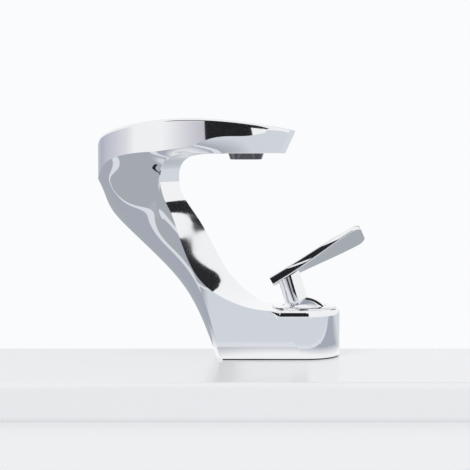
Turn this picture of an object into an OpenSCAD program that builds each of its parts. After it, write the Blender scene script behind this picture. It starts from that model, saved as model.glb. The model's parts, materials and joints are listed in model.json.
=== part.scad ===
// Single-lever basin mixer: a ribbon-like cast body that rises from a flat oval foot, folds over
// and runs out as a boat-shaped spout, with a domed side lever on a 35 mm ceramic cartridge.
// Millimetres, +Z up.  The deck is the plane z = 0 and the foot is centred on the origin.

/* [Foot] */
// Length of the foot along X
foot_l = 83; // [80:1:90]
// Depth of the foot along Y
foot_w = 50; // [49:0.5:54]
// Height of the foot above the deck
foot_h = 34; // [33.5:0.5:36]
// Thickness of the rubber gasket under the foot
gasket_t = 1; // [0.8:0.1:2]
// How far the gasket stays back from the edge of the foot
gasket_inset = 0.6; // [0.3:0.1:1.5]

/* [Spout] */
// Height of the spout's flat underside above the deck
underside_z = 142; // [140:0.5:146]
// Height of the highest point of the spout's crowned top
crown_z = 165; // [163:0.5:168]
// Turn of the spout away from the X axis, towards the basin
spout_turn = 16; // [14:0.5:18]
// Half the greatest width of the spout
spout_half_w = 24.5; // [24:0.5:26]
// Half the width of the spout at its cut-off end
tip_half_w = 8; // [6:0.5:10]
// X of the water outlet
outlet_x = -25; // [-27:0.5:-23]
// Y of the water outlet
outlet_y = -40; // [-42:0.5:-38]
// Distance from the outlet to the cut-off end of the spout
tip_reach = 32; // [30:0.5:34]
// Distance from the outlet to the round end of the spout
bend_reach = 107; // [106:0.5:109]

/* [Aerator] */
// Diameter of the outlet thread
aerator_thread_d = 22; // [20:1:22]
// How far the aerator stands out of the spout
aerator_proud = 4; // [3:0.5:6]
// Depth of the aerator's seat in the spout
aerator_depth = 11; // [9:0.5:12]

/* [Cartridge] */
// Diameter of the cartridge
cartridge_d = 35; // [35:0.1:35.2]
// Height of the chamber floor above the deck
chamber_z = 8; // [7.5:0.1:8.5]
// Height of the lever's pivot above the deck
pivot_z = 21; // [20.5:0.1:21.5]
// How far the bonnet ring's flange stands out past its thread
bonnet_lip = 1.4; // [1:0.1:2]
// Radius of the dome that turns with the lever
dome_r = 20.5; // [20.3:0.1:20.6]
// Running clearance between sliding pieces
run_gap = 0.3; // [0.2:0.05:0.4]

/* [Lever] */
// Tilt of the lever's stem in the open rest position
lever_tilt = 17; // [15:0.5:19]
// Turn of the lever towards the basin in the rest position
lever_turn = 0; // [-10:1:10]
// Diameter of the lever's stem
stem_d = 16; // [15:0.5:17]
// Distance from the pivot to the underside of the blade along the stem
stem_l = 36; // [34:0.5:38]
// Length of the blade
blade_l = 73; // [70:1:80]
// Width of the blade at its heel
heel_w = 17; // [16.5:0.5:19]
// Width of the blade at its paddle
paddle_w = 26; // [22:0.5:28]
// Thickness of the blade at its heel
blade_t = 6; // [5:0.5:7]

/* [Mounting] */
// Diameter of the spigot that centres the mixer in its deck hole
spigot_d = 30; // [28:0.5:31]
// Depth of the spigot below the foot
spigot_l = 9; // [8:0.5:12]
// Diameter of the mounting stud
stud_d = 8; // [6:1:8]
// Length of the mounting stud below the deck
stud_l = 72; // [60:1:90]
// Thickness of the deck that the mixer is clamped to
deck_t = 25; // [20:1:40]
// Diameter of the two hose inlets (M10 x 1)
inlet_d = 10; // [9.5:0.1:10]
// Distance between the two hose inlets
inlet_pitch = 14.4; // [14:0.1:15]

/* [Hidden] */

$fn = 96;
EPS = 0.01;
FAR = 100;                            // edge of the cubes that cut a piece off
foot_r = foot_w / 2;
cart_x = foot_l / 2 - foot_r;
bonnet_thread_d = 2 * (dome_r + run_gap) + 0.4;   // also holds the cartridge nut
bonnet_d = bonnet_thread_d + 2 * bonnet_lip;

// ---------- helpers ----------
function lerp(a, b, t) = a + (b - a) * t;
function rev(v) = [for (i = [len(v) - 1 : -1 : 0]) v[i]];
// Point at parameter t (0 .. len-3 whole numbers on the inner controls) of a uniform cubic B-spline
function spline(c, t) =
    let (i = min(floor(t), len(c) - 4), u = t - i)
    (pow(1 - u, 3) * c[i] + (3 * u * u * u - 6 * u * u + 4) * c[i + 1]
        + (-3 * u * u * u + 3 * u * u + 3 * u + 1) * c[i + 2] + u * u * u * c[i + 3]) / 6;
function column(table, k) = [for (row = table) row[k]];

// ---------- body: the ribbon ----------
SUNK_Z = -20;                         // the ribbon runs down to here and is cut off flat
SEAM = 0.03;                          // the ribbon lies this deep under the foot's faces
FLANK = foot_r - SEAM;
FOOT_TOP = foot_h - SEAM;
FOOT_SPLIT_X = -12;                   // the foot is a plain block to the right of here
// The ribbon is laid out about a mid surface.  A point on it has a place x along that surface,
// a height z, a half width w and a lead g of the far edge over the near one.  Each row is one
// station, from the spout's end over the bend and down the column into the foot: inner edge,
// front-outer edge, hull control and hull apex as [x, z, w, g], then the mid surface as
// [y at the inner edge, turn].
U = underside_z;
function spout_y(x) = outlet_y - tan(spout_turn) * (x - outlet_x);
function spout_row(x, w, kx, kz, kw, mx, mz, dz = 0) =
    [[x, U - dz, w, 0], [x - 0.4, U - dz + 0.3, w + 0.5, 0], [kx, kz, kw, 0], [mx, mz, 0, 0],
     [spout_y(x), spout_turn]];
RIBBON = [
    spout_row( 24,  2,   30, 168,  10,   32, 196),
    spout_row( 10,  6,   14, 168,  15,   16, 196),
    spout_row( -4, 11,   -4, 168,  19,   -4, 196),
    spout_row(-19, 14,  -18, 166,  24,  -18, 196),
    spout_row(-34, 15.5,-33, 162,  29,  -33, 196),
    spout_row(-49, 17,  -48, 148,  34,  -50, 196),
    spout_row(-60, 18,  -66, 141,  37,  -70, 195),
    spout_row(-69, 18.5,-90, 137,  37,  -95, 190, 1.5),
    spout_row(-75, 19, -106, 133,  34, -117, 177, 6),
    spout_row(-77, 19.5,-111, 126, 29, -127.5, 160, 13),
    [[-77, 123, 20, 0], [-78, 122.5, 20.3, 0], [-112, 119, 26, 0], [-129.5, 140, 0, 0], [-23, 16]],
    [[-76, 116, 20, 0], [-78.5, 115, 20.2, 0], [-111, 112, 24, 0], [-126.5, 121, 0, 0], [-21.5, 16]],
    [[-73, 109, 20.5, 0.5], [-80, 107.5, 20.5, 0], [-109, 103, 23, 0], [-121, 107.5, 0, 0], [-19.5, 16]],
    [[-68, 101, 21, 1], [-78, 101, 21, 0], [-105, 95, 22, 0], [-114, 97, 0, 0], [-17, 15.5]],
    [[-62.5, 89, 22, 3.5], [-72.5, 92.5, 22, 0], [-97, 85, 22, 0], [-103.5, 87, 0, 0], [-13.5, 14]],
    [[-57, 75.5, 23, 5], [-66, 79, 23, 0], [-87, 74, 23, 0], [-91, 75.5, 0, 0], [-10, 12]],
    [[-50.5, 61, 24, 7], [-59.5, 65, 24, 0], [-75, 62, 23, 0], [-78.5, 62.5, 0, 0], [-5.5, 8]],
    [[-42, 50, 24.5, 8.5], [-54.5, 50, 24.5, 0], [-64, 49, 22, 0], [-67, 48, 0, 0], [-2, 4]],
    [[-31, 42, FLANK, 8], [-49.5, 30, FLANK, 0], [-56, 31, 20, 0], [-57, 30, 0, 0], [0, 0]],
    [[-20, 36.3, FLANK, 5], [-44, 6, FLANK, 0], [-47, 6, 16, 0], [-48, 6, 0, 0], [0, 0]],
    [[-10, FOOT_TOP, FLANK, 1], [-38, SUNK_Z, FLANK, 0], [-38, SUNK_Z, 14, 0], [-38, SUNK_Z, 0, 0], [0, 0]],
    [[0, FOOT_TOP, FLANK, 0], [-20, SUNK_Z, FLANK, 0], [-20, SUNK_Z, 12, 0], [-20, SUNK_Z, 0, 0], [0, 0]],
    [[16.5, FOOT_TOP, FLANK, 0], [-2, SUNK_Z, FLANK, 0], [-2, SUNK_Z, 12, 0], [-2, SUNK_Z, 0, 0], [0, 0]]];
INNER = column(RIBBON, 0);
FRONT = column(RIBBON, 1);
HULL = column(RIBBON, 2);
APEX = column(RIBBON, 3);
MID = column(RIBBON, 4);

// 3-D place of a point [x, z, w, g] of a station; side is -1 towards the basin, +1 away
function place(p, x_in, mid, side) =
    [p[0] + side * (p[2] * sin(mid[1]) + p[3]),
     mid[0] - tan(mid[1]) * (p[0] - x_in) + side * p[2] * cos(mid[1]),
     p[1]];
HULL_STEPS = 10;
// Half of a ring, from the inner face's middle round the near edge to the hull's apex
function half_ring(t) =
    let (a = spline(INNER, t), b = spline(FRONT, t), k = spline(HULL, t), m = spline(APEX, t))
    concat([[a[0], a[1], a[2] / 2, a[3] / 2], a, b],
        [for (i = [1 : HULL_STEPS - 1])
            let (u = i / HULL_STEPS) (1 - u) * (1 - u) * b + 2 * u * (1 - u) * k + u * u * m]);
function ring(t) =
    let (a = spline(INNER, t), m = spline(APEX, t), mid = spline(MID, t), h = half_ring(t))
    concat([place([a[0], a[1], 0, 0], a[0], mid, -1)],
        [for (p = h) place(p, a[0], mid, -1)],
        [place([m[0], m[1], 0, 0], a[0], mid, -1)],
        [for (p = rev(h)) place(p, a[0], mid, 1)]);
// Skin through rings of equal length, with flat ends
module skin(rings) {
    n = len(rings[0]);
    last = len(rings) - 1;
    polyhedron(
        points = [for (r = rings) for (p = r) p],
        faces = concat(
            [[for (j = [0 : n - 1]) j]],
            [for (i = [0 : last - 1]) for (j = [0 : n - 1]) for (half = [0, 1])
                let (j2 = (j + 1) % n)
                half == 0 ? [i * n + j2, i * n + j, (i + 1) * n + j]
                          : [i * n + j2, (i + 1) * n + j, (i + 1) * n + j2]],
            [[for (j = [n - 1 : -1 : 0]) last * n + j]]),
        convexity = 8);
}
RIBBON_STEPS = 3;
module ribbon() {
    count = (len(RIBBON) - 3) * RIBBON_STEPS;
    skin([for (i = [0 : count]) ring(i / RIBBON_STEPS)]);
}

// ---------- body: the spout's trimmed outline ----------
module in_spout() translate([outlet_x, outlet_y, 0]) rotate([0, 0, -spout_turn]) children();
ROUND_A = 45.5;                       // long half axis of the round end
round_s = ROUND_A - bend_reach;
SIDE_POWER = 2.1;
function side_w(s) = spout_half_w
    - (spout_half_w - tip_half_w) * pow((s - round_s) / (tip_reach - round_s), SIDE_POWER);
function spout_side() = concat(
    [for (i = [0 : 15]) let (a = 90 * i / 15)
        [round_s - ROUND_A * cos(a), spout_half_w * sin(a)]],
    [for (i = [1 : 16]) let (s = lerp(round_s, tip_reach + 8, i / 16)) [s, side_w(s)]]);
function mirrored(v) = concat(v, [for (p = rev(v)) if (abs(p[1]) > EPS) [p[0], -p[1]]]);
// Crown of the spout seen from the side, from beyond the cut-off end to the round end
CROWN = [[62, 148], [44, 154.5], [26, 159], [5, 162.7], [-21, 165.4], [-47, 165.4],
         [-70, 162.4], [-87, 158.2], [-99, 153.4], [-106.5, 144], [-110, 130], [-112, 114]];
CROWN_STEPS = 3;
RELEASE_Z = 116;                      // below this height nothing is trimmed
TIP_TOP_Z = 157;
tip_rake = 25;
module spout_envelope() {
    in_spout() intersection() {
        translate([0, 0, RELEASE_Z - 3]) linear_extrude(63) polygon(mirrored(spout_side()));
        rotate([90, 0, 0]) translate([0, 0, -40]) linear_extrude(80) polygon(concat(
            [[60, RELEASE_Z - 5]],
            [for (i = [0 : (len(CROWN) - 3) * CROWN_STEPS])
                spline(CROWN, i / CROWN_STEPS) + [0, crown_z - 165]],
            [[-bend_reach - 5, RELEASE_Z - 5]]));
        translate([tip_reach, 0, TIP_TOP_Z]) rotate([0, tip_rake, 0])
            translate([-200, -50, -100]) cube([200, 100, 200]);
    }
    translate([-200, -100, gasket_t + SEAM])
        cube([400, 200, RELEASE_Z - gasket_t - SEAM]);
}

// ---------- body ----------
module foot_outline(inset = 0) {
    translate([cart_x, 0]) circle(r = foot_r - inset);
    translate([-foot_l / 2 + inset, -foot_r + inset])
        square([cart_x + foot_l / 2 - inset, foot_w - 2 * inset]);
}
module at_cartridge(z = 0) translate([cart_x, 0, z]) children();
module tube(d_out, d_in, h) difference() {
    cylinder(d = d_out, h = h);
    translate([0, 0, -1]) cylinder(d = d_in, h = h + 2);
}
INLET_X = 4.5;
INLET_DEPTH = 13;
PORT_D = 6;
OUTLET_PORT_X = -8;
STUD_X = -9.5;
STUD_DEPTH = 10;
CHAMBER_GAP = 0.2;
SHOULDER_Z = 15.5;                    // top of the wide lower half of the cartridge
module ports(d, h) {
    for (side = [-1, 1]) translate([INLET_X, side * inlet_pitch / 2, 0]) cylinder(d = d, h = h);
    translate([OUTLET_PORT_X, 0, 0]) cylinder(d = d, h = h);
}
module faucet_body() color("gainsboro") difference() {
    union() {
        intersection() {
            ribbon();
            spout_envelope();
        }
        translate([0, 0, gasket_t]) linear_extrude(foot_h - gasket_t) intersection() {
            foot_outline();
            translate([FOOT_SPLIT_X, -foot_w]) square(2 * foot_w);
        }
        at_cartridge(-spigot_l) cylinder(d = spigot_d, h = spigot_l + gasket_t + 1);
    }
    at_cartridge(chamber_z) cylinder(d = cartridge_d + 2 * CHAMBER_GAP, h = foot_h);
    at_cartridge(SHOULDER_Z) cylinder(d = bonnet_thread_d, h = foot_h);
    at_cartridge(foot_h + SEAM) cylinder(d = bonnet_d + 2 * run_gap, h = foot_h / 4);
    for (side = [-1, 1]) at_cartridge() translate([INLET_X, side * inlet_pitch / 2, 0]) {
        translate([0, 0, -spigot_l - 1]) cylinder(d = inlet_d, h = INLET_DEPTH + 1);
        cylinder(d = PORT_D, h = chamber_z + 1);
    }
    at_cartridge(-spigot_l - 1) translate([STUD_X, 0, 0]) cylinder(d = stud_d, h = STUD_DEPTH + 1);
    in_spout() translate([0, 0, U - 5]) cylinder(d = aerator_thread_d, h = 5 + aerator_depth);
}

// ---------- mounting ----------
module base_gasket() color("dimgray") linear_extrude(gasket_t) difference() {
    foot_outline(gasket_inset);
    translate([cart_x, 0]) circle(d = spigot_d + 2 * run_gap);
}
module mounting_stud() color("silver") at_cartridge() translate([STUD_X, 0, 0]) {
    top = STUD_DEPTH - spigot_l;
    rotate_extrude() polygon([[0, -stud_l], [stud_d / 2 - 1, -stud_l], [stud_d / 2, 1 - stud_l],
        [stud_d / 2, top - 1], [stud_d / 2 - 1, top], [0, top]]);
}
PLATE_D = 52;
RUBBER_T = 3;
PLATE_T = 2.5;
NUT_H = 12;
NUT_AF = 13;
PLATE_SHIFT = -4;                     // the plates' middle, seen from the cartridge axis
module horseshoe(t) linear_extrude(t) difference() {
    slot = inlet_pitch + inlet_d + 4;
    circle(d = PLATE_D);
    translate([INLET_X - PLATE_SHIFT, 0]) circle(d = slot);
    translate([INLET_X - PLATE_SHIFT, -slot / 2]) square([PLATE_D, slot]);
    translate([STUD_X - PLATE_SHIFT, 0]) circle(d = stud_d + 2 * run_gap);
}
module rubber_washer() color("dimgray")
    at_cartridge(-deck_t - RUBBER_T) translate([PLATE_SHIFT, 0, 0]) horseshoe(RUBBER_T);
module clamp_plate() color("silver")
    at_cartridge(-deck_t - RUBBER_T - PLATE_T) translate([PLATE_SHIFT, 0, 0]) horseshoe(PLATE_T);
module stud_nut() color("goldenrod")
    at_cartridge(-deck_t - RUBBER_T - PLATE_T - NUT_H) translate([STUD_X, 0, 0]) difference() {
        cylinder(d = NUT_AF / cos(30), h = NUT_H, $fn = 6);
        translate([0, 0, -1]) cylinder(d = stud_d, h = NUT_H + 2);
    }

// ---------- cartridge ----------
SEAL_STAND = 0.6;                     // the seals stand this much out of the cartridge base
SEAL_T = 1.6;
SEAL_D = 9;
BASE_T = 1.8;
DISC_T = 2.5;
DISC_D = 27;
MOVING_D = 21.6;
LAP_GAP = 0.05;                       // film of grease between the lapped discs
CARRIER_T = 2;
HOUSING_D = 30;
HOUSING_TOP = 26.5;
HOUSING_MOUTH_D = 20;
NUT_T = 4;
NUT_SLOT_D = 3;
BONNET_BORE_R = 14;
BONNET_GRIP = 4;                      // how far the bonnet ring screws in
BONNET_RISE = 1.2;                    // its flange stands this much above the foot
TURRET_D = 25.4;
TURRET_Z = 18;
TURRET_H = 6.8;
SLOT_W = 9;
PIN_D = 2.5;
SPINDLE_W = 7;
BALL_D = 3.2;
NECK_D = 2.4;
BALL_ARM = 3.8;                        // from the pivot down to the ball in the disc carrier
base_z = chamber_z + SEAL_STAND;
disc_z = base_z + BASE_T;
moving_z = disc_z + DISC_T + LAP_GAP;
carrier_z = moving_z + DISC_T;
module cartridge_base() color("white") at_cartridge(base_z) difference() {
    cylinder(d = cartridge_d, h = BASE_T);
    translate([0, 0, -1]) ports(PORT_D, BASE_T + 2);
    translate([0, 0, -1]) ports(SEAL_D, 1 + SEAL_T - SEAL_STAND);
}
module port_seals() color("black") at_cartridge(chamber_z) difference() {
    ports(SEAL_D, SEAL_T);
    translate([0, 0, -1]) ports(PORT_D, SEAL_T + 2);
}
module fixed_disc() color("ivory") at_cartridge(disc_z) difference() {
    cylinder(d = DISC_D, h = DISC_T);
    translate([0, 0, -1]) ports(PORT_D - 1, DISC_T + 2);
}
module cartridge_housing() color("whitesmoke") at_cartridge() difference() {
    union() {
        translate([0, 0, disc_z]) cylinder(d = cartridge_d, h = SHOULDER_Z - disc_z);
        translate([0, 0, disc_z]) cylinder(d = HOUSING_D, h = HOUSING_TOP - disc_z);
    }
    translate([0, 0, disc_z - 1]) cylinder(d = DISC_D + 0.2, h = TURRET_Z - run_gap - disc_z + 1);
    translate([0, 0, disc_z]) cylinder(d = TURRET_D + 2 * run_gap, h = TURRET_Z + TURRET_H + run_gap - disc_z);
    translate([0, 0, disc_z]) cylinder(d = HOUSING_MOUTH_D, h = foot_h);
}
module cartridge_nut() color("goldenrod") at_cartridge(SHOULDER_Z) difference() {
    tube(bonnet_thread_d, HOUSING_D + 2 * run_gap, NUT_T);
    for (a = [0 : 60 : 359]) rotate(a)
        translate([bonnet_thread_d / 2 - NUT_SLOT_D, 0, NUT_T - 1]) cylinder(d = NUT_SLOT_D, h = 2);
}
module bonnet_ring() color("gainsboro") at_cartridge() difference() {
    top = foot_h + BONNET_RISE;
    rotate_extrude() polygon([[BONNET_BORE_R, foot_h - BONNET_GRIP], [bonnet_thread_d / 2, foot_h - BONNET_GRIP],
        [bonnet_thread_d / 2, foot_h + SEAM], [bonnet_d / 2, foot_h + SEAM], [bonnet_d / 2, top - 0.4],
        [bonnet_d / 2 - 0.4, top], [BONNET_BORE_R, top]]);
    translate([0, 0, pivot_z]) sphere(r = dome_r + run_gap);
}

// ---------- turning pieces ----------
module at_pivot() translate([cart_x, 0, pivot_z]) rotate([0, 0, -lever_turn]) children();
module at_lever() at_pivot() rotate([0, -lever_tilt, 0]) children();
POCKET_DEPTH = 1.2;                   // pocket that joins the inlets with the outlet
POCKET_LIP = 2.2;                     // its edge, which clears the inlets when the lever is down
module moving_disc() color("ivory") at_pivot() translate([disc_shift, 0, moving_z - pivot_z]) difference() {
    cylinder(d = MOVING_D, h = DISC_T);
    translate([0, 0, -1]) intersection() {
        cylinder(d = MOVING_D - 1.6, h = 1 + POCKET_DEPTH);
        translate([-MOVING_D, -MOVING_D / 2, 0]) cube([MOVING_D + POCKET_LIP, MOVING_D, 2 + POCKET_DEPTH]);
    }
}
disc_shift = BALL_ARM * sin(lever_tilt);
module disc_carrier() color("white") at_pivot() translate([disc_shift, 0, carrier_z - pivot_z]) difference() {
    cylinder(d = MOVING_D, h = CARRIER_T);
    translate([0, 0, -1]) cylinder(d = BALL_D + 2 * run_gap, h = CARRIER_T + 2);
}
module turret() color("whitesmoke") at_pivot() translate([0, 0, TURRET_Z - pivot_z]) difference() {
    cylinder(d = TURRET_D, h = TURRET_H);
    translate([-10, -SLOT_W / 2, -1]) cube([20, SLOT_W, TURRET_H + 2]);
    translate([0, 20, pivot_z - TURRET_Z]) rotate([90, 0, 0]) cylinder(d = PIN_D, h = 40);
}
module pivot_pin() color("silver") at_pivot() rotate([90, 0, 0]) cylinder(d = PIN_D, h = TURRET_D - 2, center = true);
SPINDLE_TOP = 30;
module spindle() color("goldenrod") at_lever() difference() {
    union() {
        translate([0, 0, -BALL_ARM]) sphere(d = BALL_D);
        translate([0, 0, -BALL_ARM]) cylinder(d = NECK_D, h = BALL_ARM);
        rotate([90, 0, 0]) cylinder(d = SPINDLE_W, h = SLOT_W - 2 * run_gap, center = true);
        translate([-SPINDLE_W / 2, -SPINDLE_W / 2, 0]) cube([SPINDLE_W, SPINDLE_W, SPINDLE_TOP]);
    }
    rotate([90, 0, 0]) cylinder(d = PIN_D + 0.1, h = 2 * SLOT_W, center = true);
}
DOME_T = 1.5;
DOME_EDGE = 7;                        // height of the dome's rim above the pivot
module dome_cap() color("gainsboro") at_lever() difference() {
    sphere(r = dome_r);
    sphere(r = dome_r - DOME_T);
    translate([-FAR / 2, -FAR / 2, DOME_EDGE - FAR]) cube(FAR);
    cylinder(d = stem_d, h = 2 * dome_r);
}
STEM_FOOT = 14;
GRUB_Z = 25;
GRUB_D = 5;
GRUB_L = 3.5;
HEEL_ROLL = 11.5;                     // roll of the blade's underside over the stem
module lever_stem() color("gainsboro") at_lever() difference() {
    intersection() {
        translate([0, 0, STEM_FOOT]) cylinder(d = stem_d, h = stem_l + 6 - STEM_FOOT);
        translate([0, 0, stem_l]) rotate([0, -blade_rise, 0]) rotate([-HEEL_ROLL, 0, 0])
            translate([-FAR / 2, -FAR / 2, -FAR - run_gap]) cube(FAR);
    }
    translate([-SPINDLE_W / 2, -SPINDLE_W / 2, 0]) cube([SPINDLE_W, SPINDLE_W, SPINDLE_TOP + 0.5]);
    translate([0, 0, GRUB_Z]) rotate([0, -90, 0]) cylinder(d = GRUB_D, h = stem_d);
}
module grub_screw() color("dimgray") at_lever() translate([-SPINDLE_W / 2, 0, GRUB_Z]) rotate([0, -90, 0]) difference() {
    cylinder(d = GRUB_D, h = GRUB_L);
    translate([0, 0, GRUB_L - 2]) cylinder(d = 2.5 / cos(30), h = 3, $fn = 6);
}
module screw_plug() color("gainsboro") at_lever() intersection() {
    translate([-SPINDLE_W / 2 - GRUB_L, 0, GRUB_Z]) rotate([0, -90, 0]) cylinder(d = GRUB_D, h = 4);
    cylinder(d = stem_d, h = 2 * GRUB_Z);
}

// ---------- blade ----------
blade_rise = 13;                      // rise of the blade over the plane square to the stem
heel_reach = 13;                      // from the stem's axis back to the heel
// Stations of the blade: [share of its length, share from heel to paddle width, thickness, roll]
BLADE = [[-0.1, 0, 1, 8], [0, 0, 1, 9], [0.15, 0.12, 0.98, 11], [0.35, 0.42, 0.93, 16],
         [0.55, 0.75, 0.85, 22], [0.75, 0.98, 0.72, 27], [0.9, 1, 0.62, 30], [1, 1, 0.6, 31],
         [1.1, 1, 0.55, 32]];
BLADE_STEPS = 3;
CORNER = 1;
function blade_ring(t) =
    let (b = spline(BLADE, t), w = lerp(heel_w, paddle_w, b[1]) / 2, h = b[2] * blade_t,
        s = b[0] * blade_l,
        tip = max(0, (s - 0.9 * blade_l) / (0.1 * blade_l)),
        hw = w * (1 - 0.35 * pow(min(1, tip), 3)))
    [for (q = [[-1, -1], [1, -1], [1, 1], [-1, 1]]) for (a = [0 : 30 : 90])
        let (turn = q[0] < 0 ? (q[1] < 0 ? 180 : 90) : (q[1] < 0 ? 270 : 0), r = min(CORNER, h / 2.2),
            y = q[0] * (hw - r) + r * cos(turn + a),
            z = h / 2 + q[1] * (h / 2 - r) + r * sin(turn + a) + 0.6 * (1 - pow(y / hw, 2)) * (q[1] > 0 ? 1 : 0))
        [s, y * cos(b[3]) + z * sin(b[3]), -y * sin(b[3]) + z * cos(b[3])]];
module lever_blade() color("gainsboro") at_lever() translate([0, 0, stem_l]) rotate([0, -blade_rise, 0])
    translate([-heel_reach, 0, 0])
        intersection() {
            skin([for (i = [0 : (len(BLADE) - 3) * BLADE_STEPS]) blade_ring(i / BLADE_STEPS)]);
            translate([0, -50, -50]) cube([blade_l, 100, 100]);
        }

// ---------- aerator ----------
COLLAR_D = 24;
MESH_D = 17;
module in_outlet(z) in_spout() translate([0, 0, U + z]) children();
module aerator_housing() color("darkgray") in_outlet(0) difference() {
    union() {
        translate([0, 0, -aerator_proud]) cylinder(d1 = COLLAR_D - 3, d2 = COLLAR_D, h = aerator_proud);
        cylinder(d = aerator_thread_d, h = aerator_depth - 1.5);
    }
    translate([0, 0, -aerator_proud - 1]) cylinder(d = MESH_D, h = aerator_depth + aerator_proud + 2);
}
module aerator_washer() color("black") in_outlet(aerator_depth - 1.5) tube(aerator_thread_d, 14, 1.5);
module aerator_insert() color("white") in_outlet(0) difference() {
    cylinder(d = MESH_D, h = aerator_depth - 1.5);
    for (a = [0 : 45 : 359]) rotate(a) translate([5.2, 0, -1]) cylinder(d = 2.6, h = aerator_depth + 2);
    translate([0, 0, -1]) cylinder(d = 4, h = aerator_depth + 2);
}
module aerator_screen() color("gray") in_outlet(-aerator_proud + 1) difference() {
    cylinder(d = MESH_D, h = 1);
    for (x = [-2 : 2]) for (y = [-2 : 2]) if (norm([x, y]) < 2.6)
        translate([x * 2.6 - 0.9, y * 2.6 - 0.9, -1]) cube([1.8, 1.8, 3]);
}

faucet_body();
base_gasket();
mounting_stud();
rubber_washer();
clamp_plate();
stud_nut();
cartridge_base();
port_seals();
fixed_disc();
cartridge_housing();
cartridge_nut();
bonnet_ring();
moving_disc();
disc_carrier();
turret();
pivot_pin();
spindle();
dome_cap();
lever_stem();
lever_blade();
grub_screw();
screw_plug();
aerator_housing();
aerator_washer();
aerator_insert();
aerator_screen();
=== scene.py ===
import bpy
import bmesh
import json
import math
import numpy as np
from mathutils import Matrix, Vector


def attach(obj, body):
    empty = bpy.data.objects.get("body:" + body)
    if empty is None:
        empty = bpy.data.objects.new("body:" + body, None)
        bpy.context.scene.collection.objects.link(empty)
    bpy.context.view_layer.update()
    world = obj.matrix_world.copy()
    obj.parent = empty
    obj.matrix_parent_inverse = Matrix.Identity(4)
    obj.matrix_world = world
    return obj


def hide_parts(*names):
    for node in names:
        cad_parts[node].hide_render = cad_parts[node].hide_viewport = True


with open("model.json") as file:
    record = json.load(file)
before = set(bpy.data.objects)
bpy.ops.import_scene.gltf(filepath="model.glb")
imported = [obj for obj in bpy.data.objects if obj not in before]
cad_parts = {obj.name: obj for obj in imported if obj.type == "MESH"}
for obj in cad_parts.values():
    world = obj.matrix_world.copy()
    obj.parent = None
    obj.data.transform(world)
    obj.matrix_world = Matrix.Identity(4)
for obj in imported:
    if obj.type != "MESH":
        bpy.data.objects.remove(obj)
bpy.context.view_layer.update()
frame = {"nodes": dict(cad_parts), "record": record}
NODES = frame["nodes"]
MM = 0.001

# ---------- driving sizes, in millimetres and degrees ----------
# foot; its top edge is rounded by an ellipse that fades in from FOOT_EDGE_START
FOOT_L, FOOT_W, FOOT_H, GASKET_T = 83.0, 50.0, 34.0, 1.0
FOOT_R = FOOT_W / 2
CART_X = FOOT_L / 2 - FOOT_R
FOOT_SPLIT_X, SUNK_Z, SEAM = -12.0, -20.0, 0.03
FLANK, FOOT_TOP = FOOT_R - SEAM, FOOT_H - SEAM
FOOT_EDGE, FOOT_EDGE_DEPTH = 2.1, 5.5
FOOT_EDGE_START, FOOT_EDGE_FADE = -9.0, 7.0
# cartridge chamber, its ports and the spigot through the deck
SPIGOT_D, SPIGOT_L = 30.0, 9.0
CHAMBER_D, CHAMBER_Z, THREAD_D, THREAD_Z = 35.4, 8.0, 42.0, 15.5
INLET_D, INLET_X, INLET_Y = 10.0, 4.5, 7.2
STUD_HOLE_D, STUD_X = 8.0, -9.5
# spout, along a line through the outlet
UNDERSIDE_Z, RELEASE_Z = 142.0, 116.0
SPOUT_TURN, TIP_RAKE = 16.0, 25.0
SPOUT_HALF_W, TIP_HALF_W, SIDE_POWER = 24.5, 8.0, 2.1
OUTLET = (-25.0, -40.0)
TIP_REACH, BEND_REACH, TIP_TOP_Z, ROUND_A = 32.0, 105.5, 157.0, 45.5
CROWN_EDGE = 2.0
# aerator
AERATOR_PROUD, AERATOR_DEPTH, AERATOR_D, COLLAR_D = 4.0, 11.0, 22.0, 24.0
AERATOR_BORE_R, AERATOR_END_GAP = 8.5, 1.5
# bonnet and dome
BONNET_D, BONNET_RISE, BONNET_SINK, BONNET_SEAT_GAP = 44.8, 1.2, 4.0, 0.6
PIVOT_Z, DOME_R, DOME_GAP, DOME_WALL, DOME_MOUTH_R = 21.0, 20.5, 0.3, 1.5, 7.0
# stem and blade
LEVER_TILT, BLADE_RISE = 17.0, 13.0
STEM_D, STEM_L, STEM_LOW, STEM_CUT = 16.0, 36.0, 14.0, 1.2
SOCKET_HALF_W, SOCKET_TOP, PLUG_SEAT_R, PLUG_Z = 3.5, 30.5, 2.6, 25.0
BLADE_L, HEEL_W, PADDLE_W, BLADE_T = 73.0, 17.0, 26.0, 6.0
HEEL_REACH, BLADE_CORNER, BLADE_CAMBER = 13.0, 1.0, 0.6
# mesh quality: angles over which an edge stays sharp, and how far a cutter passes a face
SHARP_BODY, SHARP_PART, OVERCUT = 13, 30, 0.05


# ---------- meshes ----------
def piece(name, verts, faces):
    """An object in the scene from points and faces."""
    mesh = bpy.data.meshes.new(name)
    mesh.from_pydata([tuple(v) for v in verts], [], faces)
    obj = bpy.data.objects.new(name, mesh)
    bpy.context.scene.collection.objects.link(obj)
    return obj


def outward(obj):
    """Turns every face outwards."""
    bm = bmesh.new()
    bm.from_mesh(obj.data)
    bmesh.ops.recalc_face_normals(bm, faces=bm.faces)
    bm.to_mesh(obj.data)
    bm.free()
    return obj


def skin(name, rings):
    """A closed skin through rings of equal length."""
    n, last = len(rings[0]), len(rings) - 1
    faces = [tuple(range(n))[::-1], tuple(last * n + j for j in range(n))]
    for i in range(last):
        for j in range(n):
            k = (j + 1) % n
            faces.append((i * n + j, i * n + k, (i + 1) * n + k, (i + 1) * n + j))
    return outward(piece(name, [p for r in rings for p in r], faces))


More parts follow.
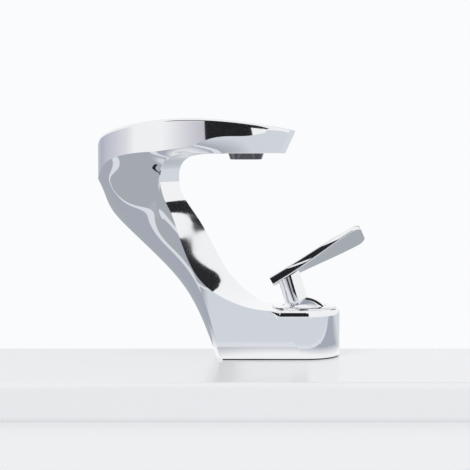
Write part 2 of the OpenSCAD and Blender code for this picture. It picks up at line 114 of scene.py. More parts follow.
def lathe(name, profile, steps=128):
    """A solid turned round Z from a closed profile of (radius, height)."""
    rings = []
    for i in range(steps):
        c, s = math.cos(2 * math.pi * i / steps), math.sin(2 * math.pi * i / steps)
        rings.append([(r * c, r * s, z) for r, z in profile])
    n = len(profile)
    faces = [(i * n + j, ((i + 1) % steps) * n + j, ((i + 1) % steps) * n + (j + 1) % n,
              i * n + (j + 1) % n) for i in range(steps) for j in range(n)]
    obj = piece(name, [p for r in rings for p in r], faces)
    bm = bmesh.new()
    bm.from_mesh(obj.data)
    bmesh.ops.remove_doubles(bm, verts=bm.verts, dist=1e-5)
    bmesh.ops.dissolve_degenerate(bm, dist=1e-6, edges=bm.edges)
    bm.to_mesh(obj.data)
    bm.free()
    return outward(obj)


def prism(name, outline, low, high, to_world):
    """A straight prism over a flat outline; to_world places its points."""
    n = len(outline)
    verts = [to_world(Vector((x, y, z))) for z in (low, high) for x, y in outline]
    faces = [tuple(range(n))[::-1], tuple(range(n, 2 * n))]
    faces += [(j, (j + 1) % n, n + (j + 1) % n, n + j) for j in range(n)]
    return outward(piece(name, verts, faces))


def block(name, low, high, to_world=lambda v: v):
    """A box between two corners."""
    outline = [(low[0], low[1]), (high[0], low[1]), (high[0], high[1]), (low[0], high[1])]
    return prism(name, outline, low[2], high[2], to_world)


def circle(r, steps, x=0.0, y=0.0):
    """Points round a circle."""
    return [(x + r * math.cos(2 * math.pi * i / steps), y + r * math.sin(2 * math.pi * i / steps))
            for i in range(steps)]


def rod(name, d, low, high, x=0.0, y=0.0, steps=128):
    """An upright cylinder."""
    return prism(name, circle(d / 2, steps, x, y), low, high, lambda v: v)


def combine(obj, other, operation):
    """Joins, cuts or keeps the shared part of two solids, and uses the second one up."""
    modifier = obj.modifiers.new("combine", "BOOLEAN")
    modifier.operation = operation
    modifier.solver = "EXACT"
    modifier.object = other
    bpy.context.view_layer.update()
    graph = bpy.context.evaluated_depsgraph_get()
    mesh = bpy.data.meshes.new_from_object(obj.evaluated_get(graph))
    obj.modifiers.clear()
    obj.data = mesh
    bpy.data.objects.remove(other)
    return obj


def finish_mesh(obj, sharp=SHARP_PART, to_world=None):
    """Scales from millimetres, places the piece and smooths all but the sharp edges."""
    mesh = obj.data
    if to_world:
        mesh.transform(to_world)
    mesh.transform(Matrix.Scale(MM, 4))
    mesh.shade_smooth()
    mesh.set_sharp_from_angle(angle=math.radians(sharp))
    return obj


def lerp(a, b, t):
    return a + (b - a) * t


def spline(column, t):
    """Point at t of a uniform cubic B-spline."""
    i = min(int(t), len(column) - 4)
    u = t - i
    weights = ((1 - u) ** 3, 3 * u ** 3 - 6 * u * u + 4,
               -3 * u ** 3 + 3 * u * u + 3 * u + 1, u ** 3)
    return sum(w * np.array(column[i + j], float) for j, w in enumerate(weights)) / 6


# ---------- body ----------
# A station of the ribbon has four points [x, z, half width, splay]: the inner face's edge, the
# front face's edge, the outer hull's control point and the hull's apex. The fifth entry is the
# station's middle, y and turn.
def spout_row(x, w, kx, kz, kw, mx, mz, dz=0.0):
    """A station inside the spout, where the inner face is the flat underside."""
    u = UNDERSIDE_Z
    mid = OUTLET[1] + math.tan(math.radians(-SPOUT_TURN)) * (x - OUTLET[0])
    return [[x, u - dz, w, 0], [x - 0.4, u - dz + 0.3, w + 0.5, 0],
            [kx, kz, kw, 0], [mx, mz, 0, 0], [mid, SPOUT_TURN]]


RIBBON = [
    spout_row(24, 1.5, 24, 228, 16, 26, 210),
    spout_row(10, 4, 10, 222, 18, 12, 210),
    spout_row(-4, 8, -4, 210, 25, -4, 210),
    spout_row(-19, 12, -19, 193, 35, -18, 210),
    spout_row(-34, 14, -35, 176, 36, -33, 210),
    spout_row(-49, 16, -50, 160, 38, -50, 210),
    spout_row(-60, 17.5, -63, 159.5, 54, -67, 200),
    spout_row(-69, 18.3, -89, 152, 46, -94, 190, 1.5),
    spout_row(-75, 19, -114, 152, 36, -153, 172, 6),
    spout_row(-77, 19.5, -125, 141, 24, -146, 152, 13),
    [[-77, 123, 20, 0], [-78, 122.5, 20.3, 0], [-124, 125, 19, 0], [-134.5, 136, 0, 0], [-23, 16]],
    [[-76, 116, 20, 0], [-78.5, 115, 20.2, 0], [-120, 112, 24.5, 0], [-124, 122, 0, 0],
     [-21.5, 16]],
    [[-73, 109, 20.5, 0.5], [-80, 107.5, 20.5, 0], [-111, 103, 26, 0], [-121.5, 107, 0, 0],
     [-19.5, 16]],
    [[-68, 101, 21, 1], [-78, 101, 21, 0], [-105, 95, 22, 0], [-114, 97, 0, 0], [-17, 15.5]],
    [[-62.5, 89, 22, 3.5], [-72.5, 92.5, 22, 0], [-97, 85, 22, 0], [-103.5, 87, 0, 0],
     [-13.5, 14]],
    [[-57, 75.5, 23, 5], [-66, 79, 23, 0], [-87, 74, 23, 0], [-91, 75.5, 0, 0], [-10, 12]],
    [[-50.5, 61, 24, 7], [-59.5, 65, 24, 0], [-75, 62, 23, 0], [-78.5, 62.5, 0, 0], [-5.5, 8]],
    [[-42, 50, 24.5, 8.5], [-54.5, 50, 24.5, 0], [-64, 49, 22, 0], [-67, 48, 0, 0], [-2, 4]],
    [[-31, 42, FLANK, 8], [-49.5, 30, FLANK, 0], [-56, 31, 20, 0], [-57, 30, 0, 0], [0, 0]],
    [[-20, 36.3, FLANK, 5], [-44, 6, FLANK, 0], [-47, 6, 16, 0], [-48, 6, 0, 0], [0, 0]],
    [[-10, FOOT_TOP, FLANK, 1], [-38, SUNK_Z, FLANK, 0], [-38, SUNK_Z, 14, 0],
     [-38, SUNK_Z, 0, 0], [0, 0]],
    [[0, FOOT_TOP, FLANK, 0], [-20, SUNK_Z, FLANK, 0], [-20, SUNK_Z, 12, 0],
     [-20, SUNK_Z, 0, 0], [0, 0]],
    [[16.5, FOOT_TOP, FLANK, 0], [-2, SUNK_Z, FLANK, 0], [-2, SUNK_Z, 12, 0],
     [-2, SUNK_Z, 0, 0], [0, 0]]]
INNER, FRONT, HULL, APEX, MID = [[row[k] for row in RIBBON] for k in range(5)]
RIBBON_STEPS, INNER_STEPS, EDGE_STEPS, HULL_STEPS = 10, 8, 8, 30


def place(p, x_in, mid, side):
    """3-D place of a station's point on one side of its middle."""
    turn = math.radians(mid[1])
    return (p[0] + side * (p[2] * math.sin(turn) + p[3]),
            mid[0] - math.tan(turn) * (p[0] - x_in) + side * p[2] * math.cos(turn),
            p[1])


def ring(t):
    """The ribbon's closed section at t: inner face, edge face and curved hull on both sides."""
    a, b, k, m, mid = (spline(c, t) for c in (INNER, FRONT, HULL, APEX, MID))
    half = [np.array([a[0], a[1], a[2] * i / INNER_STEPS, a[3] * i / INNER_STEPS])
            for i in range(1, INNER_STEPS + 1)]
    half += [lerp(a, b, i / EDGE_STEPS) for i in range(1, EDGE_STEPS + 1)]
    for i in range(1, HULL_STEPS):
        u = i / HULL_STEPS
        half.append((1 - u) ** 2 * b + 2 * u * (1 - u) * k + u * u * m)
    near = [place(p, a[0], mid, -1) for p in half]
    far = [place(p, a[0], mid, 1) for p in reversed(half)]
    centre = np.array([a[0], a[1], 0, 0])
    apex = np.array([m[0], m[1], 0, 0])
    return [place(centre, a[0], mid, -1)] + near + [place(apex, a[0], mid, -1)] + far


# The crown's side view, [reach from the outlet, z], from the tip to the bend.
CROWN = [[62, 148], [44, 154.5], [26, 159], [5, 162.7], [-21, 165.4], [-47, 165.4],
         [-70, 162.6], [-87, 159], [-100, 154.8], [-107.5, 146], [-110, 130], [-112, 114]]
CROWN_STEPS, PLAN_STEPS, EDGE_ARC_STEPS, FOOT_EDGE_STEPS = 16, 60, 8, 14
SPOUT_PLACE = (Matrix.Translation((*OUTLET, 0))
               @ Matrix.Rotation(math.radians(-SPOUT_TURN), 4, "Z"))
ROUND_S = ROUND_A - BEND_REACH


def in_spout(v):
    """From the spout's own axes, along its run from the outlet, to the shared frame."""
    return SPOUT_PLACE @ v


def spout_outline():
    """Plan of the spout: a round end, then sides that taper to the tip."""
    side = []
    for i in range(PLAN_STEPS + 1):
        a = math.radians(90 * i / PLAN_STEPS)
        side.append((ROUND_S - ROUND_A * math.cos(a), SPOUT_HALF_W * math.sin(a)))
    for i in range(1, PLAN_STEPS + 1):
        s = lerp(ROUND_S, TIP_REACH + 8, i / PLAN_STEPS)
        share = (s - ROUND_S) / (TIP_REACH - ROUND_S)
        side.append((s, SPOUT_HALF_W - (SPOUT_HALF_W - TIP_HALF_W) * share ** SIDE_POWER))
    return side + [(x, -y) for x, y in reversed(side) if y > 1e-6]


def make_envelope():
    """The spout's block with a rounded crown edge, over a slab that the column runs through."""
    steps = (len(CROWN) - 3) * CROWN_STEPS
    crown = np.array([spline(CROWN, i / CROWN_STEPS) for i in range(steps + 1)])[::-1]
    plan = np.array(spout_outline())
    n, half = len(plan), len(plan) // 2
    tangent = np.roll(plan, -1, axis=0) - np.roll(plan, 1, axis=0)
    tangent[half] = plan[half] - plan[half - 1]
    tangent[half + 1] = plan[half + 2] - plan[half + 1]
    inward = np.stack([tangent[:, 1], -tangent[:, 0]], axis=1)
    inward /= np.linalg.norm(inward, axis=1, keepdims=True)
    rows = [[(x, y, RELEASE_Z - 3) for x, y in plan]]
    for a in np.linspace(0, math.pi / 2, EDGE_ARC_STEPS + 1):
        inset = plan + inward * CROWN_EDGE * (1 - math.cos(a))
        inset[0, 1] = 0
        z = np.interp(inset[:, 0], crown[:, 0], crown[:, 1]) - CROWN_EDGE * (1 - math.sin(a))
        rows.append([(x, y, h) for (x, y), h in zip(inset, z)])
    faces = [(i * n + j, i * n + (j + 1) % n, (i + 1) * n + (j + 1) % n, (i + 1) * n + j)
             for i in range(len(rows) - 1) for j in range(n)]
    top = (len(rows) - 1) * n
    for base in (0, top):
        faces.append((base, base + 1, base + n - 1))
        faces += [(base + j, base + j + 1, base + n - j - 1, base + n - j)
                  for j in range(1, half)]
    points = [in_spout(Vector(v)) for row in rows for v in row]
    envelope = outward(piece("envelope", points, faces))
    rake = (Matrix.Translation((TIP_REACH, 0, TIP_TOP_Z))
            @ Matrix.Rotation(math.radians(TIP_RAKE), 4, "Y"))
    end = block("end", (-200, -50, -100), (0, 50, 100), lambda v: in_spout(rake @ v))
    low = block("low", (-200, -100, GASKET_T + SEAM), (200, 100, RELEASE_Z))
    combine(envelope, end, "INTERSECT")
    return combine(envelope, low, "UNION")


FOOT_ARC = [math.radians(-90 + 180 * i / 64) for i in range(65)]


def foot_edge_cutter():
    """What a rounding of the foot's top edge takes away; it fades out towards the column."""
    r = FOOT_R + OVERCUT
    straight = np.linspace(FOOT_SPLIT_X, CART_X - 1, 24)
    plan = [(x, -r, 0, -1) for x in straight]
    plan += [(CART_X + r * math.cos(a), r * math.sin(a), math.cos(a), math.sin(a))
             for a in FOOT_ARC]
    plan += [(x, r, 0, 1) for x in straight[::-1]]
    rows = [[(x, y, FOOT_H - 9) for x, y, _, _ in plan]]
    # The steps grow from nothing, so that the flat wall's normals stay level.
    for a in [math.pi / 2 * (i / FOOT_EDGE_STEPS) ** 2 for i in range(FOOT_EDGE_STEPS + 1)]:
        row = []
        for x, y, nx, ny in plan:
            share = min(1.0, max(0.0, (x - FOOT_EDGE_START) / FOOT_EDGE_FADE))
            inset = share * FOOT_EDGE * (1 - math.cos(a))
            drop = share * FOOT_EDGE_DEPTH * (1 - math.sin(a))
            row.append((x - nx * inset, y - ny * inset, FOOT_H + OVERCUT + a * 0.01 - drop))
        rows.append(row)
    cutter = block("cutter", (-11, -30, FOOT_H - 7), (45, 30, FOOT_H))
    return combine(cutter, skin("keep", rows), "DIFFERENCE")


def make_body():
    """The casting: ribbon, spout, foot and spigot in one, with its holes."""
    count = (len(RIBBON) - 3) * RIBBON_STEPS
    body = skin("body", [ring(i / RIBBON_STEPS) for i in range(count + 1)])
    combine(body, make_envelope(), "INTERSECT")
    plan = [(CART_X + FOOT_R * math.cos(a), FOOT_R * math.sin(a)) for a in FOOT_ARC]
    plan += [(FOOT_SPLIT_X, FOOT_R), (FOOT_SPLIT_X, -FOOT_R)]
    foot = prism("foot", plan, GASKET_T, FOOT_H, lambda v: v)
    combine(body, foot, "UNION")
    combine(body, rod("spigot", SPIGOT_D, -SPIGOT_L, GASKET_T + 1, CART_X), "UNION")
    above, below = 70, -12
    for name, d, low, high, x, y in (
            ("chamber", CHAMBER_D, CHAMBER_Z, above, CART_X, 0),
            ("thread", THREAD_D, THREAD_Z, above, CART_X, 0),
            ("seat", BONNET_D + BONNET_SEAT_GAP, FOOT_TOP + 2 * SEAM, 42, CART_X, 0),
            ("inlet_a", INLET_D, below, 4, CART_X + INLET_X, INLET_Y),
            ("inlet_b", INLET_D, below, 4, CART_X + INLET_X, -INLET_Y),
            ("stud_hole", STUD_HOLE_D, below, 1, CART_X + STUD_X, 0)):
        combine(body, rod(name, d, low, high, x, y), "DIFFERENCE")
    combine(body, foot_edge_cutter(), "DIFFERENCE")
    mouth = rod("mouth", AERATOR_D, UNDERSIDE_Z - 5, UNDERSIDE_Z + AERATOR_DEPTH, *OUTLET)
    combine(body, mouth, "DIFFERENCE")
    return finish_mesh(body, SHARP_BODY)


# ---------- lever ----------
LEVER_PLACE = (Matrix.Translation((CART_X, 0, PIVOT_Z))
               @ Matrix.Rotation(math.radians(-LEVER_TILT), 4, "Y"))
BLADE_PLACE = (LEVER_PLACE @ Matrix.Translation((0, 0, STEM_L))
               @ Matrix.Rotation(math.radians(-BLADE_RISE), 4, "Y")
               @ Matrix.Translation((-HEEL_REACH, 0, 0)))
# Stations of the blade: share of its length, share from heel to paddle width, share of its
# thickness, and roll.
BLADE = [[-0.1, 0, 1, 8], [0, 0, 1, 9], [0.15, 0.12, 0.98, 11], [0.35, 0.42, 0.93, 16],
         [0.55, 0.75, 0.85, 22], [0.75, 0.98, 0.72, 27], [0.9, 1, 0.62, 30], [1, 1, 0.6, 31],
         [1.1, 1, 0.55, 32]]
BLADE_STEPS, CORNER_STEPS, WIDTH_STEPS = 20, 8, 12


def blade_ring(t):
    """Section of the blade: a flat bottom, rounded corners and a cambered top, rolled."""
    length, width, thick, turned_by = spline(BLADE, t)
    w, h, s = lerp(HEEL_W, PADDLE_W, width) / 2, thick * BLADE_T, length * BLADE_L
    tip = max(0.0, (s - 0.9 * BLADE_L) / (0.1 * BLADE_L))
    hw = w * (1 - 0.35 * min(1.0, tip) ** 3)
    r, roll = min(BLADE_CORNER, h / 2.2), math.radians(turned_by)

    def raised(y, z, qz):
        return y, z + (BLADE_CAMBER * (1 - (y / hw) ** 2) if qz > 0 else 0)

    points = []
    for qy, qz, start in ((-1, -1, 180), (1, -1, 270), (1, 1, 0), (-1, 1, 90)):
        for i in range(CORNER_STEPS + 1):
            a = math.radians(start + 90 * i / CORNER_STEPS)
            points.append(raised(qy * (hw - r) + r * math.cos(a),
                                 h / 2 + qz * (h / 2 - r) + r * math.sin(a), qz))
        if qy * qz > 0:
            points += [raised(lerp(qy * (hw - r), -qy * (hw - r), i / WIDTH_STEPS),
                              h / 2 + qz * h / 2, qz) for i in range(1, WIDTH_STEPS)]
    c, n = math.cos(roll), math.sin(roll)
    return [(s, y * c + z * n, -y * n + z * c) for y, z in points]


def make_blade():
    """The blade, with both ends trimmed square to its length."""
    steps = (len(BLADE) - 3) * BLADE_STEPS
    blade = skin("lever_blade_polished", [blade_ring(i / BLADE_STEPS) for i in range(steps + 1)])
    bm = bmesh.new()
    bm.from_mesh(blade.data)
    for x, outwards in ((0.0, -1), (BLADE_L, 1)):
        cut = bmesh.ops.bisect_plane(bm, geom=bm.verts[:] + bm.edges[:] + bm.faces[:],
                                     plane_co=(x, 0, 0), plane_no=(outwards, 0, 0),
                                     clear_outer=True)
        edges = [e for e in cut["geom_cut"] if isinstance(e, bmesh.types.BMEdge)]
        bmesh.ops.holes_fill(bm, edges=edges)
    bm.to_mesh(blade.data)
    bm.free()
    return finish_mesh(outward(blade), SHARP_PART, BLADE_PLACE)


# ---------- shaders ----------
class Wire:
    """A shader socket that takes part in Python expressions on values."""

    def __init__(self, shader, socket):
        self.shader, self.socket = shader, socket

    def _math(self, operation, *values):
        return self.shader.add("ShaderNodeMath", {"operation": operation},
                               dict(enumerate(values)))

    def __add__(self, v): return self._math("ADD", self, v)
    def __radd__(self, v): return self._math("ADD", v, self)
    def __sub__(self, v): return self._math("SUBTRACT", self, v)
    def __mul__(self, v): return self._math("MULTIPLY", self, v)
    def __truediv__(self, v): return self._math("DIVIDE", self, v)
    def __pow__(self, v): return self._math("POWER", self, v)
    def larger(self, v): return self._math("MAXIMUM", self, v)
    def smaller(self, v): return self._math("MINIMUM", self, v)
    def wave(self): return self._math("SINE", self)


class Shader:
    """A node tree that is filled by one method."""

    def __init__(self, tree):
        self.tree = tree
        tree.nodes.clear()

    def add(self, kind, settings=None, inputs=None, out=0):
        node = self.tree.nodes.new(kind)
        for name, value in (settings or {}).items():
            if name == "stops":
                elements = node.color_ramp.elements
                while len(elements) < len(value):
                    elements.new(0.5)
                for element, (at, colour) in zip(elements, value):
                    element.position, element.color = at, colour
            else:
                setattr(node, name, value)
        for name, value in (inputs or {}).items():
            self.join(value, node.inputs[name])
        return Wire(self, node.outputs[out]) if len(node.outputs) else None

    def join(self, value, socket):
        if isinstance(value, Wire):
            self.tree.links.new(value.socket, socket)
        elif isinstance(value, (tuple, list)) and len(value) == 3 and socket.type == "RGBA":
            socket.default_value = (*value, 1)
        else:
            socket.default_value = value

    def place(self):
        return self.add("ShaderNodeTexCoord", out="Object")

    def parts(self, vector):
        """The x, y and z of a vector."""
        return [self.add("ShaderNodeSeparateXYZ", {}, {0: vector}, out=k) for k in range(3)]

    def ray(self, kind):
        return self.add("ShaderNodeLightPath", out=kind)

    def glow(self, colour):
        return self.add("ShaderNodeEmission", {}, {"Color": colour, "Strength": 1.0})

    def noise(self, scale, detail=2.0, rough=0.5, stretch=None):
        at = self.place()
        if stretch:
            at = self.add("ShaderNodeVectorMath", {"operation": "MULTIPLY"}, {0: at, 1: stretch})
        return self.add("ShaderNodeTexNoise", {},
                        {"Vector": at, "Scale": scale, "Detail": detail, "Roughness": rough})

    def mix(self, share, a, b):
        return self.add("ShaderNodeMix", {"data_type": "RGBA"}, {0: share, 6: a, 7: b}, out=2)

    def bump(self, height, strength, distance):
        return self.add("ShaderNodeBump", {}, {"Height": height, "Strength": strength,
                                               "Distance": distance})

    def surface(self, **inputs):
        named = {k.replace("_", " "): v for k, v in inputs.items()}
        shader = self.add("ShaderNodeBsdfPrincipled", {}, named)
        self.add("ShaderNodeOutputMaterial", {}, {"Surface": shader})


def material(name, fill):
    """A new material whose nodes are made by `fill`."""
    mat = bpy.data.materials.new(name)
    mat.use_nodes = True
    fill(Shader(mat.node_tree))
    return mat


THREAD_PITCH = 1.25


def polished_chrome(s):
    haze = s.noise(35.0, 4.0)
    smear = s.noise(9.0, 3.0, 0.6, (1, 1, 0.4))
    s.surface(Base_Color=s.mix(smear, (0.84, 0.85, 0.87), (0.88, 0.885, 0.9)), Metallic=1.0,
              Roughness=0.02 + haze * 0.03, Normal=s.bump(s.noise(55.0, 1.0), 0.02, 0.0005))


def dark_chrome(s):
    haze = s.noise(60.0, 4.0)
    s.surface(Base_Color=s.mix(haze, (0.11, 0.11, 0.12), (0.2, 0.2, 0.21)), Metallic=1.0,
              Roughness=0.06 + haze * 0.08)


def stainless(s):
    grain = s.noise(90.0, 3.0, 0.6, (1, 1, 14))
    s.surface(Base_Color=s.mix(grain, (0.5, 0.5, 0.51), (0.66, 0.66, 0.67)), Metallic=1.0,
              Roughness=0.22 + grain * 0.15, Normal=s.bump(grain, 0.08, 0.0004))


def stud_steel(s):
    height = s.parts(s.place())[2]
    thread = (height * (2 * math.pi / (THREAD_PITCH * MM))).wave()
    grain = s.noise(80.0, 2.0)
    s.surface(Base_Color=s.mix(grain, (0.48, 0.48, 0.49), (0.6, 0.6, 0.61)), Metallic=1.0,
              Roughness=0.25 + grain * 0.15, Normal=s.bump(thread, 0.6, 0.0006))


def machined_brass(s):
    grain = s.noise(70.0, 3.0, 0.6, (1, 1, 12))
    s.surface(Base_Color=s.mix(grain, (0.68, 0.5, 0.22), (0.84, 0.67, 0.36)), Metallic=1.0,
              Roughness=0.2 + grain * 0.18, Normal=s.bump(grain, 0.06, 0.0004))


def black_rubber(s):
    grain = s.noise(260.0, 4.0, 0.65)
    s.surface(Base_Color=s.mix(grain, (0.012, 0.012, 0.013), (0.035, 0.034, 0.034)),
              Roughness=0.62 + grain * 0.2, Normal=s.bump(grain, 0.25, 0.0003))


def moulded_plastic(s):
    grain = s.noise(190.0, 3.0)
    s.surface(Base_Color=s.mix(grain, (0.78, 0.78, 0.75), (0.86, 0.86, 0.84)),
              Roughness=0.34 + grain * 0.12, Normal=s.bump(grain, 0.08, 0.0002))


def lapped_ceramic(s):
    grain = s.noise(320.0, 2.0)
    s.surface(Base_Color=s.mix(grain, (0.88, 0.86, 0.8), (0.94, 0.92, 0.88)),
              Roughness=0.12 + grain * 0.08, Coat_Weight=0.3)


CHROME = material("polished_chrome", polished_chrome)
DARK = material("dark_chrome", dark_chrome)
FINISHES = {
    "chrome": CHROME,
    "dark_chrome": DARK,
    "steel": material("stainless", stainless),
    "brass": material("machined_brass", machined_brass),
    "rubber": material("black_rubber", black_rubber),
    "white_plastic": material("moulded_plastic", moulded_plastic),
    "ceramic": material("lapped_ceramic", lapped_ceramic)}
STUD = material("stud_steel", stud_steel)


def wear(obj, mat):
    """Makes a material the object's only one."""
    obj.data.materials.clear()
    obj.data.materials.append(mat)


def dress(obj, body, slot, mat, *nodes):
    """Gives a piece its finish and its body, and hides the node that it stands for."""
    wear(obj, mat)
    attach(obj, body)
    if nodes:
        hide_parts(*nodes)


for entry in frame["record"]["subparts"]:
    node = NODES[entry["node"]]
    finish = STUD if entry["node"] == "mounting_stud" else FINISHES[entry["material_slot"]]
    for spot in node.material_slots:
        spot.material = finish

# ---------- pieces ----------
dress(make_body(), "faucet", "chrome", CHROME, "faucet_body")
dress(make_blade(), "lever", "chrome", CHROME, "lever_blade")

r, low, high = BONNET_D / 2, FOOT_H - BONNET_SINK, FOOT_H + BONNET_RISE
bore = [(math.sqrt((DOME_R + DOME_GAP) ** 2 - (h - PIVOT_Z) ** 2), h)
        for h in np.linspace(high, low, 14)]
bonnet = lathe("bonnet_polished", [
    (14, low), (THREAD_D / 2, low), (THREAD_D / 2, FOOT_H + SEAM), (r, FOOT_H + SEAM),
    (r, high - 0.45), (r - 0.12, high - 0.18), (r - 0.45, high - 0.02), (r - 0.9, high)] + bore)
dress(finish_mesh(bonnet, SHARP_PART, Matrix.Translation((CART_X, 0, 0))), "faucet", "chrome",
      CHROME, "bonnet_ring")

inner_r = DOME_R - DOME_WALL
shell = [(DOME_R * math.cos(a), DOME_R * math.sin(a))
         for a in np.linspace(math.asin(DOME_MOUTH_R / DOME_R),
                              math.acos((STEM_D / 2 - 0.2) / DOME_R), 40)]
under = [(inner_r * math.cos(a), inner_r * math.sin(a))
         for a in np.linspace(math.acos(STEM_D / 2 / inner_r),
                              math.asin(DOME_MOUTH_R / inner_r), 40)]
dress(finish_mesh(lathe("dome_polished", shell + under), SHARP_PART, LEVER_PLACE), "lever",
      "chrome", CHROME, "dome_cap")

stem = rod("stem_polished", STEM_D, STEM_LOW, STEM_L + 9, steps=160)
under_blade = (Matrix.Translation((0, 0, STEM_L))
               @ Matrix.Rotation(math.radians(-BLADE_RISE), 4, "Y"))
across = Matrix.Translation((0, 0, PLUG_Z)) @ Matrix.Rotation(math.radians(-90), 4, "Y")
for cut in (
        block("lid", (-60, -60, STEM_CUT), (60, 60, 60), lambda v: under_blade @ v),
        block("socket", (-SOCKET_HALF_W, -SOCKET_HALF_W, 0),
              (SOCKET_HALF_W, SOCKET_HALF_W, SOCKET_TOP)),
        prism("plug_seat", circle(PLUG_SEAT_R, 64), 3, 12, lambda v: across @ v)):
    combine(stem, cut, "DIFFERENCE")
dress(finish_mesh(stem, SHARP_PART, LEVER_PLACE), "lever", "chrome", CHROME, "lever_stem")

r, top = COLLAR_D / 2, AERATOR_DEPTH - AERATOR_END_GAP
housing = lathe("aerator_polished", [
    (AERATOR_BORE_R, -AERATOR_PROUD + 0.4), (9.4, -AERATOR_PROUD), (r - 1.9, -AERATOR_PROUD),
    (r - 1.5, -AERATOR_PROUD + 0.15), (r - 1.25, -AERATOR_PROUD + 0.55), (r - 0.25, -0.35),
    (r, -0.1), (r, 0.0), (AERATOR_D / 2, 0.0), (AERATOR_D / 2, top), (AERATOR_BORE_R, top)])
aerator_place = SPOUT_PLACE @ Matrix.Translation((0, 0, UNDERSIDE_Z))
dress(finish_mesh(housing, SHARP_PART, aerator_place), "faucet", "dark_chrome", DARK,
      "aerator_housing")

# ---------- stage ----------
DECK_FRONT, DECK_BACK, DECK_T, DECK_HOLE_D, DECK_SOFT = -113.0, 32.0, 25.0, 35.0, 4.0
STAGE_HALF, FLOOR_HALF, FLOOR_Z, FLOOR_T = 3000.0, 25000.0, -400.0, 40.0
# LIGHT and SHADE are a painted light band and painted shade that metal sees in the deck.
WHITE, LIGHT, SHADE = (1.0, 1.0, 1.0), (0.80, 0.82, 0.86), (0.43, 0.45, 0.52)
# The first two colours on the next line are the floor's painted reflection: dark near the deck,
# paler further out.
PAINTED_DARK_REFLECTION, PAINTED_FAR_REFLECTION, BACKDROP = (0.43, 0.46, 0.49), (0.71, 0.75, 0.79), (0.96, 0.965, 0.98)
DECK_COLOUR, FLOOR_COLOUR = (0.9, 0.905, 0.91), (0.88, 0.89, 0.9)


def ramp(value, low, high):
    """0 below low, 1 above high, even in between."""
    return ((value - low) / (high - low)).larger(0.0).smaller(1.0)


def pale(name, colour, roughness, painted_reflection, plain):
    """A studio surface that takes light and shadow in its own colour.

    The camera sees it with a share of the plain backdrop mixed in; metal and glass see only a
    glowing painted reflection, in the colour that the fourth argument makes.
    """
    def fill(s):
        grain = s.noise(3.0, 2.0)
        lit = s.add("ShaderNodeBsdfPrincipled", {}, {
            "Base Color": s.mix(grain, colour, tuple(c * 0.985 for c in colour)),
            "Roughness": roughness})
        lit = s.add("ShaderNodeMixShader", {}, {
            0: s.ray("Is Camera Ray") * plain, 1: lit, 2: s.glow(BACKDROP)})
        # Painted reflection: rays from metal and glass see a glow instead of the lit surface.
        mirrored = s.ray("Is Glossy Ray").larger(s.ray("Is Transmission Ray"))
        mixed = s.add("ShaderNodeMixShader", {}, {0: mirrored, 1: lit, 2: s.glow(painted_reflection(s))})
        s.add("ShaderNodeOutputMaterial", {}, {"Surface": mixed})
    return material(name, fill)


def deck_painted_reflection(s):
    """Painted reflection: white round the foot, painted shade further out, painted light band at
    the front edge.
    """
    x, y, _ = s.parts(s.place())
    front = -DECK_FRONT * MM
    far = ramp((x * x + y * y) ** 0.5, 0.055, 0.105)
    edge = ramp(y * -1.0, front - 0.030, front - 0.026)
    return s.mix(edge, s.mix(far, WHITE, SHADE), LIGHT)


def floor_painted_reflection(s):
    """Painted reflection: dark near the deck and to the left, pale further out in front and
    behind.
    """
    x, y, _ = s.parts(s.place())
    front = ramp(y * -1.0, 0.3, 0.7) * ramp(x, -0.35, -0.15)
    back = ramp(y, 1.0, 2.5) * ramp(x, -0.5, 0.0)
    return s.mix(front.larger(back), PAINTED_DARK_REFLECTION, PAINTED_FAR_REFLECTION)


deck = block("deck", (-STAGE_HALF, DECK_FRONT, -DECK_T), (STAGE_HALF, DECK_BACK, 0))
combine(deck, rod("deck_hole", DECK_HOLE_D, -40, 10, CART_X), "DIFFERENCE")
finish_mesh(deck)
soft_edge = deck.modifiers.new("soft_edge", "BEVEL")
soft_edge.width, soft_edge.segments, soft_edge.limit_method = DECK_SOFT * MM, 5, "ANGLE"
wear(deck, pale("pale_deck", DECK_COLOUR, 0.2, deck_painted_reflection, 0.35))
apron = block("apron", (-STAGE_HALF, DECK_FRONT + 6, FLOOR_Z),
              (STAGE_HALF, DECK_FRONT + 16, -DECK_T))
wear(finish_mesh(apron), pale("pale_apron", FLOOR_COLOUR, 0.4, floor_painted_reflection, 0.6))
floor = block("floor", (-FLOOR_HALF, -FLOOR_HALF, FLOOR_Z - FLOOR_T),
              (FLOOR_HALF, FLOOR_HALF, FLOOR_Z))
wear(finish_mesh(floor), pale("pale_floor", FLOOR_COLOUR, 0.5, floor_painted_reflection, 1.0))

# ---------- world, lamps and flags ----------
AMBIENT, AMBIENT_STRENGTH = (0.80, 0.82, 0.85), 0.7
# Colour of the surround low over the horizon, against the angle to the right of the front.
SURROUND = [(-180, (0.70, 0.71, 0.76)), (-120, (0.48, 0.50, 0.58)), (-80, (0.66, 0.66, 0.73)),
            (-62, (0.80, 0.79, 0.84)), (-52, WHITE), (-32, WHITE), (-23, (0.72, 0.71, 0.76)),
            (-16, (0.55, 0.54, 0.60)), (0, WHITE)]


def lamp(name, centre, size, strength, aim=(-0.03, 0, 0.09)):
    """A soft box, with its strength in watts."""
    light = bpy.data.lights.new(name, "AREA")
    light.shape, light.size, light.size_y = "RECTANGLE", size[0], size[1]
    light.energy = strength
    obj = bpy.data.objects.new(name, light)
    facing = (Vector(centre) - Vector(aim)).to_track_quat("Z", "Y")
    obj.matrix_world = Matrix.Translation(centre) @ facing.to_matrix().to_4x4()
    bpy.context.scene.collection.objects.link(obj)
    obj.visible_glossy = False


FLAG = material("black_flag", lambda s: s.surface(Base_Color=(0.012, 0.012, 0.014), Roughness=0.9))


def flag(name, y, corners):
    """A flat black card across the view at y, with (x, z) corners, that only metal shows."""
    obj = piece(name, [Vector((x, y, z)) * MM for x, z in corners], [tuple(range(len(corners)))])
    obj.visible_camera = obj.visible_diffuse = obj.visible_shadow = False
    wear(obj, FLAG)


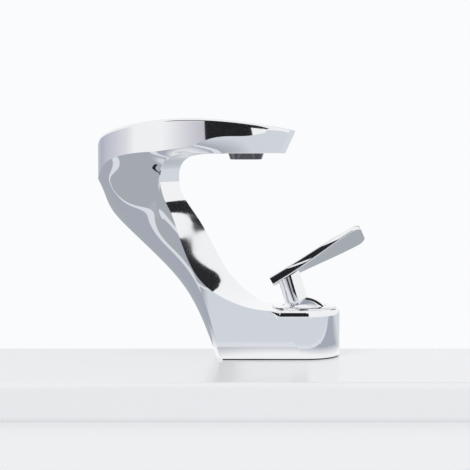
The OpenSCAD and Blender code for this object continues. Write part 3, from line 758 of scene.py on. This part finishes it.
world = bpy.data.worlds.new("studio")
bpy.context.scene.world = world
world.use_nodes = True
sky = Shader(world.node_tree)
seen = sky.ray("Is Camera Ray")
mirrored = sky.ray("Is Glossy Ray").larger(sky.ray("Is Transmission Ray"))
east, north, up = sky.parts(sky.add("ShaderNodeTexCoord", out="Generated"))
bearing = sky.add("ShaderNodeMath", {"operation": "ARCTAN2"}, {0: east, 1: north * -1.0})
level = sky.add("ShaderNodeValToRGB", {"stops": [
    ((angle + 180) / 360, (*colour, 1)) for angle, colour in SURROUND]},
    {0: bearing * (0.5 / math.pi) + 0.5})
studio = sky.mix(ramp(up, 0.12, 0.2), level, WHITE)
sky.add("ShaderNodeOutputWorld", {}, {"Surface": sky.add("ShaderNodeBackground", {}, {
    "Color": sky.mix(seen, sky.mix(mirrored, AMBIENT, studio), BACKDROP),
    "Strength": seen.larger(mirrored) * (1 - AMBIENT_STRENGTH) + AMBIENT_STRENGTH})})

lamp("key", (-0.9, -1.1, 1.3), (0.9, 0.9), 9)
lamp("fill", (1.2, -0.9, 0.9), (0.8, 0.8), 4)

flag("flag_front", -1000, [(-345, 60), (-30, 60), (-30, 262), (90, 250), (120, 900), (-700, 900),
                           (-700, 430), (-345, 430)])
flag("flag_low", -150, [(-26, 43), (46, 43), (46, 72), (-8, 72), (-8, 60), (-26, 60)])
flag("flag_left", -1000, [(-640, -290), (-330, -230), (-330, -140), (-640, -180)])
flag("flag_stem", -60, [(4, 38), (26, 38), (26, 58), (4, 58)])
flag("flag_behind", 300, [(40, 199), (110, 194), (150, 192), (200, 181), (260, 162), (330, 134),
                          (340, 420), (40, 420)])

# ---------- camera ----------
# It stands 850 mm in front of the foot, and looks down a little.
PICTURE_PX, FOCAL_PX, HORIZON_PX, SENSOR = 470, 1207, 71, 36
lens = bpy.data.cameras.new("camera")
lens.sensor_width = SENSOR
lens.lens = SENSOR * FOCAL_PX / PICTURE_PX
lens.clip_start, lens.clip_end = 0.01, 50
camera = bpy.data.objects.new("camera", lens)
camera.location = (-0.0324, -0.850, 0.135)
camera.rotation_euler = (math.radians(90) - math.atan(HORIZON_PX / FOCAL_PX), 0, 0)
bpy.context.scene.collection.objects.link(camera)
bpy.context.scene.camera = camera
bpy.context.scene.view_settings.view_transform = "Standard"
